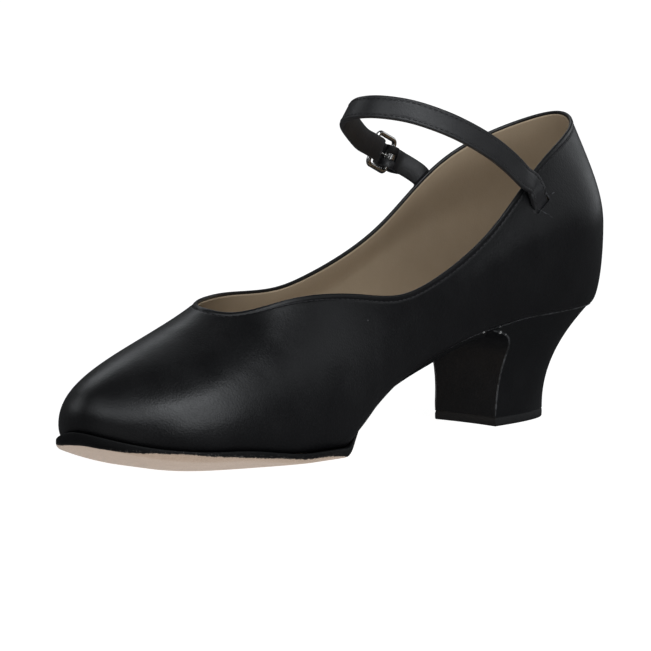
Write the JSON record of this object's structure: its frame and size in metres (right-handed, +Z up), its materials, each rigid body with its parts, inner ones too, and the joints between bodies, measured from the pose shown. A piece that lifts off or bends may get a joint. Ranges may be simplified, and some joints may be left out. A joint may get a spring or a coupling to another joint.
{
  "type": "character shoe",
  "caption": "Right-foot black leather character shoe: hollow round-toed upper, thin suede outsole, insole, covered heel and instep strap.",
  "frame": {"origin": "middle of the shoe's bounding box in plan, on the floor that its heel and forefoot stand on", "axes": "+X to the toe, +Y to the inner (medial) side, +Z up"},
  "size_m": [0.2494, 0.0808, 0.1161],
  "materials": {
    "upper_leather": "satin, fine grain",
    "sock": "matt",
    "suede_sole": "napped suede, black edge",
    "heel_cover": "satin",
    "top_piece": "matt",
    "strap_leather": "satin, stitched edges",
    "buckle_metal": "polished"
  },
  "bodies": {
    "root": {"upper": "upper_leather", "insole": "sock", "outsole": "suede_sole", "heel": "heel_cover", "heel_tip": "top_piece", "strap": "strap_leather", "buckle_tab": "strap_leather", "buckle_frame": "buckle_metal", "buckle_prong": "buckle_metal"}
  },
  "joints": []
}
